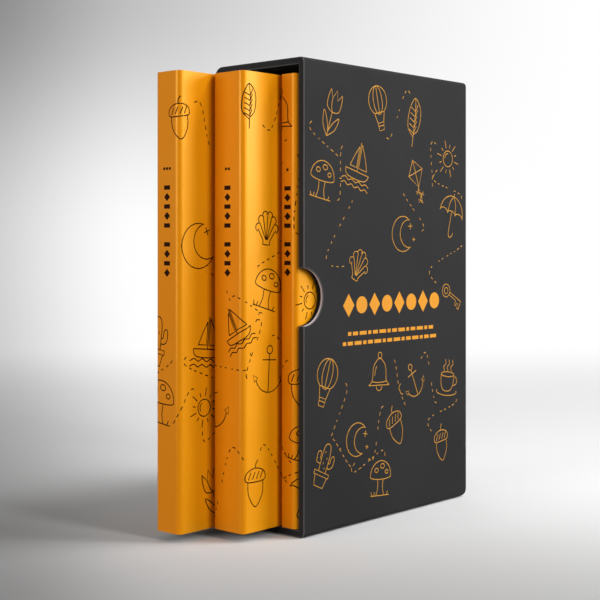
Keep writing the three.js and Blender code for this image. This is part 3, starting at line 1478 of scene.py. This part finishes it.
@dataclass
class CoverPrint:
    """The dark drawings that run round one book's cover, with an ornament on the spine."""

    name: str
    volume: int
    ink: Material
    first_seed: int = 40
    spine_corner: float = SPINE_CORNER
    corner_cuts: int = 12
    sheet_margin: float = 1 * MM
    ornament_foot: float = 105 * MM
    ornament_head: float = 155 * MM
    ornament_half_width: float = 1.8 * MM
    ornament_side_margin: float = 0.5 * MM
    ornament_end_margin: float = 4 * MM
    ornament_step: float = 3.9 * MM
    bare_steps: tuple[int, int] = (2, 8)
    lozenge_half_height: float = 1.7 * MM
    bar_half_height: float = 0.9 * MM
    dot_radius: float = 0.65 * MM
    dot_pitch: float = 1.7 * MM
    thumb_motif: Motif | None = None
    thumb_depth: float = 6 * MM
    thumb_reach: float = 8.5 * MM
    thumb_turn: float = 0.2

    def build(self) -> Piece:
        """Draws the cover's print flat and wraps it round the book.

        Returns:
            The finished piece.
        """
        low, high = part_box(f"{self.name}_cover")
        flat_half = (high.x - low.x) / 2 - self.spine_corner
        turn_length = self.spine_corner * RIGHT_ANGLE
        reach = flat_half + turn_length + high.y - low.y - self.spine_corner
        height = high.z - low.z
        side = flat_half + self.ornament_side_margin
        spine_zone = Zone(
            -side,
            self.ornament_foot - self.ornament_end_margin,
            side,
            self.ornament_head + self.ornament_end_margin,
        )
        sheet = Zone(-reach, self.sheet_margin, reach, height - self.sheet_margin)
        drawing = Drawing(sheet, [spine_zone], self.first_seed + self.volume)
        if self.thumb_motif:
            thumb_place = (flat_half + turn_length + self.thumb_depth, height / 2)
            drawing.set_motif(self.thumb_motif, thumb_place, self.thumb_reach, self.thumb_turn)
        drawing.scatter()
        self._add_ornament(drawing)
        print_piece = drawing.build(f"{self.name}_print", self.ink, self.ink)
        print_piece.matrix_world = Matrix(((1, 0, 0, 0), (0, 0, -1, 0), (0, 1, 0, low.z), (0, 0, 0, 1)))
        apply_place(print_piece)
        self._cut_at_corners(print_piece, flat_half, turn_length)
        self._wrap(print_piece, low, high, flat_half, turn_length)
        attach(print_piece, self.name)
        return print_piece

    def _add_ornament(self, drawing: Drawing) -> None:
        """Adds a column of solid lozenges and bars to the spine, with a tally of the volume above it.

        Two steps of the column, counted from its top, stay bare.

        Args:
            drawing: The drawing to add to.
        """
        half_width = self.ornament_half_width
        steps = int((self.ornament_head - self.ornament_foot) / self.ornament_step)
        for number in range(steps):
            y = self.ornament_foot + self.ornament_step * (number + 0.5)
            from_top = steps - number
            if from_top == 1:
                self._add_tally(drawing, y)
            elif from_top in self.bare_steps:
                continue
            elif number % 2:
                foot, head = y - self.bar_half_height, y + self.bar_half_height
                drawing.strokes.append(bar(-half_width, foot, half_width, head))
            else:
                drawing.strokes.append(lozenge(0, y, half_width, self.lozenge_half_height))

    def _add_tally(self, drawing: Drawing, y: float) -> None:
        """Adds one dot for each volume up to this one, in a row across the spine.

        Args:
            drawing: The drawing to add to.
            y: The row's height.
        """
        for number in range(self.volume):
            x = (number - (self.volume - 1) / 2) * self.dot_pitch
            drawing.strokes.append(oval(x, y, self.dot_radius, filled=True))

    def _cut_at_corners(self, piece: Piece, flat_half: float, turn_length: float) -> None:
        """Cuts the flat print along upright lines where it will bend round the spine's corners.

        Args:
            piece: The flat print.
            flat_half: Half the width of the flat of the spine.
            turn_length: The length of card round one corner.
        """
        for side in (-1, 1):
            for cut in range(self.corner_cuts + 1):
                place = side * (flat_half + turn_length * cut / self.corner_cuts)
                with edit_mode(piece, "VERT"):
                    bpy.ops.mesh.select_all(action="SELECT")
                    bpy.ops.mesh.bisect(plane_co=(place, 0, 0), plane_no=(1, 0, 0))

    def _wrap(
        self, piece: Piece, low: Vector, high: Vector, flat_half: float, turn_length: float
    ) -> None:
        """Wraps the flat print round the cover.

        Args:
            piece: The flat print, standing upright with the spine's middle at x = 0.
            low: The cover's lowest corner.
            high: The cover's highest corner.
            flat_half: Half the width of the flat of the spine.
            turn_length: The length of card round one corner.
        """
        middle = (low.x + high.x) / 2
        for vertex in piece.data.vertices:
            along, proud = abs(vertex.co.x), -vertex.co.y
            side = 1 if vertex.co.x >= 0 else -1
            turn = min(max((along - flat_half) / turn_length, 0), 1) * RIGHT_ANGLE
            radius = self.spine_corner + proud
            past = max(along - flat_half - turn_length, 0)
            vertex.co.x = middle + side * (min(along, flat_half) + radius * math.sin(turn))
            vertex.co.y = low.y + self.spine_corner - radius * math.cos(turn) + past


# The setting


@dataclass(frozen=True)
class Fade:
    """A smooth change along a measure, from none at its start to its full share at its end."""

    start: float
    end: float
    share: float = 1.0

    def add(self, sheet: NodeSheet, measure: Socket) -> Socket:
        """Adds the fade to a material.

        Args:
            sheet: The tree to write in.
            measure: What the fade runs along.

        Returns:
            The share of the fade at each place.
        """
        return sheet.math("MULTIPLY", sheet.ramp(measure, self.start, self.end), self.share)


@dataclass(frozen=True)
class Lamp:
    """A soft rectangular lamp."""

    name: str
    place: tuple[float, float, float]
    size: Point
    power: float

    def add(self, aim: Vector) -> None:
        """Adds the lamp to the scene.

        Args:
            aim: The point that the lamp faces.
        """
        bpy.ops.object.select_all(action="DESELECT")
        bpy.ops.object.light_add(type="AREA", location=self.place)
        lamp = bpy.context.object
        lamp.name = self.name
        lamp.rotation_euler = (aim - Vector(self.place)).to_track_quat("-Z", "Y").to_euler()
        lamp.data.shape = "RECTANGLE"
        lamp.data.size, lamp.data.size_y = self.size
        lamp.data.energy = self.power


@dataclass
class Setting:
    """The floor, the backdrop, the lamps and the camera.

    The left, corner and front fades paint a falloff of light on the floor and the backdrop.
    The left and the top fades run along the slope of the sight line, sideways or upwards, and the
    front and the far fades along the distance ahead of the object.
    """

    lens: float = 74.7
    sensor_width: float = 36
    frame_shift: float = -0.099
    nearest_seen: float = 0.01
    camera_place: Vector = field(default_factory=lambda: Vector((0.3708, -0.4426, 0.1235)))
    camera_turn: float = math.radians(42.07)
    floor_reach: float = 3.0
    floor_level: float = -0.2 * MM
    floor_tone: float = 0.78
    bounce_tone: Colour = srgb(100, 99, 98)
    # Painted light falloff: darker to the left, at the top-left corner and towards the front.
    left_fade: Fade = Fade(start=-0.13, end=-0.3, share=0.45)
    corner_left_fade: Fade = Fade(start=0.24, end=-0.3)
    corner_top_fade: Fade = Fade(start=0.03, end=0.24, share=0.6)
    front_fade: Fade = Fade(start=0.08, end=-0.2, share=0.52)
    far_fade: Fade = Fade(start=0.05, end=0.9)
    evenness: float = 0.25
    lamp_aim: Vector = field(default_factory=lambda: Vector((0, 0, 0.12)))
    lamps: tuple[Lamp, ...] = (
        Lamp("key", place=(0.52, 0.32, 0.28), size=(0.3, 0.3), power=2.3),
        Lamp("overhead", place=(0.42, 0.35, 1.05), size=(0.3, 0.3), power=6.5),
        Lamp("strip", place=(0.75, -0.02, 0.42), size=(0.15, 0.6), power=3.2),
        Lamp("fill", place=(-0.2, -0.98, 0.26), size=(0.6, 0.4), power=4.6),
        Lamp("back", place=(-0.9, 0.9, 0.7), size=(0.7, 0.7), power=2.5),
    )

    def build(self) -> None:
        """Makes everything that isn't part of the object."""
        self._camera()
        self._floor()
        self._world()
        for lamp in self.lamps:
            lamp.add(self.lamp_aim)
        bpy.context.scene.view_settings.view_transform = "Standard"

    def _camera(self) -> None:
        """Places a level camera, with the frame shifted down instead of the camera tilted."""
        bpy.ops.object.select_all(action="DESELECT")
        bpy.ops.object.camera_add(
            location=self.camera_place, rotation=(RIGHT_ANGLE, 0, self.camera_turn)
        )
        camera = bpy.context.object
        camera.data.lens = self.lens
        camera.data.sensor_width = self.sensor_width
        camera.data.shift_y = self.frame_shift
        camera.data.clip_start = self.nearest_seen
        bpy.context.scene.camera = camera

    def _floor(self) -> None:
        """Lays a pale floor and stands a backdrop on its far end."""
        depth = Vector((-math.sin(self.camera_turn), math.cos(self.camera_turn), 0))
        for name, turn, place in (
            ("floor", 0.0, Vector((0, 0, self.floor_level))),
            ("backdrop", RIGHT_ANGLE, depth * self.floor_reach),
        ):
            bpy.ops.object.select_all(action="DESELECT")
            bpy.ops.mesh.primitive_plane_add(
                size=2 * self.floor_reach, location=place, rotation=(turn, 0, self.camera_turn)
            )
            sheet = bpy.context.object
            sheet.name = name
            apply_place(sheet)
            sheet.data.materials.append(self._pale_material(name))

    def _pale_material(self, name: str) -> Material:
        """Builds a pale surface that takes shadows near the object and glows plainly far from it.

        Camera, glossy and transmission rays see it so, and other rays see one darker tone.

        Args:
            name: The material's name.

        Returns:
            The new material.
        """
        material = bpy.data.materials.new(f"pale_{name}")
        material.use_nodes = True
        material.node_tree.nodes.clear()
        sheet = NodeSheet(material.node_tree)
        # The tone is painted light falloff, laid on the shaded floor and on the glow alike.
        tone, ahead = self._painted_falloff(sheet)
        shaded, plain = sheet.add("ShaderNodeBsdfDiffuse"), sheet.add("ShaderNodeEmission")
        sheet.link(tone, plain.inputs["Color"])
        sheet.link(sheet.math("MULTIPLY", tone, self.floor_tone), shaded.inputs["Color"])
        seen = sheet.blend(self.far_fade.add(sheet, ahead), shaded.outputs[0], plain.outputs[0])

        unseen = sheet.add("ShaderNodeBsdfDiffuse")
        unseen.inputs["Color"].default_value = self.bounce_tone
        path = sheet.add("ShaderNodeLightPath")
        shown = path.outputs["Is Camera Ray"]
        for ray in ("Is Glossy Ray", "Is Transmission Ray"):
            shown = sheet.math("MAXIMUM", shown, path.outputs[ray])
        surface = sheet.blend(shown, unseen.outputs[0], seen)
        sheet.link(surface, sheet.add("ShaderNodeOutputMaterial").inputs["Surface"])
        return material

    def _painted_falloff(self, sheet: NodeSheet) -> tuple[Socket, Socket]:
        """Works out the painted light falloff: a tone that falls off to the left, the top left and the
        front.

        Args:
            sheet: The tree to write in.

        Returns:
            The tone, and how far ahead of the object's middle a place lies.
        """
        place = sheet.add("ShaderNodeTexCoord").outputs["Object"]
        parts = sheet.add("ShaderNodeSeparateXYZ")
        sheet.link(place, parts.inputs[0])
        cos, sin = math.cos(self.camera_turn), math.sin(self.camera_turn)
        ahead = self._along(sheet, place, (-sin, cos, 0))
        aside = self._along(sheet, place, (cos, sin, 0))
        camera_ahead = cos * self.camera_place.y - sin * self.camera_place.x
        distance = sheet.math("SUBTRACT", ahead, camera_ahead)
        bearing = sheet.math("DIVIDE", aside, distance)
        rise = sheet.math("DIVIDE", parts.outputs["Z"], distance)
        corner = sheet.math(
            "MULTIPLY",
            self.corner_left_fade.add(sheet, bearing),
            self.corner_top_fade.add(sheet, rise),
        )
        tone = 1.0
        for share in (self.left_fade.add(sheet, bearing), corner, self.front_fade.add(sheet, ahead)):
            tone = sheet.math("MULTIPLY", tone, sheet.math("SUBTRACT", 1.0, share))
        return tone, ahead

    @staticmethod
    def _along(sheet: NodeSheet, place: Socket, way: tuple[float, float, float]) -> Socket:
        """Measures how far a place lies along a direction.

        Args:
            sheet: The tree to write in.
            place: The place.
            way: The direction, of length one.

        Returns:
            The distance.
        """
        product = sheet.add("ShaderNodeVectorMath", operation="DOT_PRODUCT")
        sheet.link(place, product.inputs[0])
        product.inputs[1].default_value = way
        return product.outputs["Value"]

    def _world(self) -> None:
        """Lights the scene evenly from all round."""
        world = bpy.data.worlds.new("studio")
        bpy.context.scene.world = world
        world.use_nodes = True
        background = world.node_tree.nodes["Background"]
        background.inputs["Color"].default_value = (1, 1, 1, 1)
        background.inputs["Strength"].default_value = self.evenness


def build_finishes() -> dict[str, Material]:
    """Builds every material of the object.

    Returns:
        The materials by name.
    """
    effects = Effects()
    papers = (
        PaperFinish("wrap", srgb(41, 40, 41), srgb(37, 37, 38), 0.6, sheen=0.1, scuffs=0.05),
        # Painted highlight for the rounded paper edges.
        PaperFinish("wrap_edge", srgb(82, 82, 84), srgb(66, 66, 67), 0.5, sheen=0.4),
        # Also the painted shadow on the inner part of the notch's cut edge.
        PaperFinish("lining", srgb(20, 20, 22), srgb(16, 16, 17), 0.8, sheen=0.2),
        PaperFinish("board_core", srgb(205, 202, 210), srgb(188, 185, 196), 0.9, tooth=0.4),
        PaperFinish(
            "card",
            srgb(238, 156, 9),
            srgb(233, 150, 7),
            0.33,
            sheen_tone=srgb(255, 205, 95),
            sheen=1.0,
            # Painted shade on the spine's faces.
            spine_shade_tone=srgb(236, 138, 7),
        ),
        PaperFinish("card_inside", srgb(238, 234, 226), srgb(232, 228, 218), 0.8),
        PaperFinish("pages", srgb(240, 233, 217), srgb(230, 221, 203), 0.9, tooth=0.3),
        PaperFinish("gold_ink", srgb(200, 143, 44), srgb(193, 136, 39), 0.45, sheen=0.3, tooth=0.02),
        PaperFinish("bold_ink", srgb(218, 145, 24), srgb(214, 141, 21), 0.45, sheen=0.3, tooth=0.02),
        PaperFinish("dark_ink", srgb(42, 18, 4), srgb(38, 15, 3), 0.5, sheen=0.05, tooth=0.02),
    )
    return {paper.name: paper.build(effects) for paper in papers}


def main() -> None:
    """Builds the setting, the case and the books in order and reports each piece."""
    logging.basicConfig(level=logging.INFO, format="%(name)s: %(message)s")
    Setting().build()
    finishes = build_finishes()
    inks = (finishes["gold_ink"], finishes["bold_ink"])
    pieces = [
        Slipcase(finishes).build(),
        CasePrint("case_print_notch_side", 1, *inks, seed=7, ornament=True).build(),
        CasePrint("case_print_far_side", -1, *inks, seed=8, ornament=False).build(),
    ]
    for volume in (1, 2, 3):
        name = f"book_{volume}"
        pieces += Book(name, finishes).build()
        by_notch = Motif.SUN if volume == 1 else None
        pieces.append(CoverPrint(name, volume, finishes["dark_ink"], thumb_motif=by_notch).build())
    for piece in pieces:
        LOG.info("%s: %d faces", piece.name, len(piece.data.polygons))


if __name__ == "__main__":
    main()
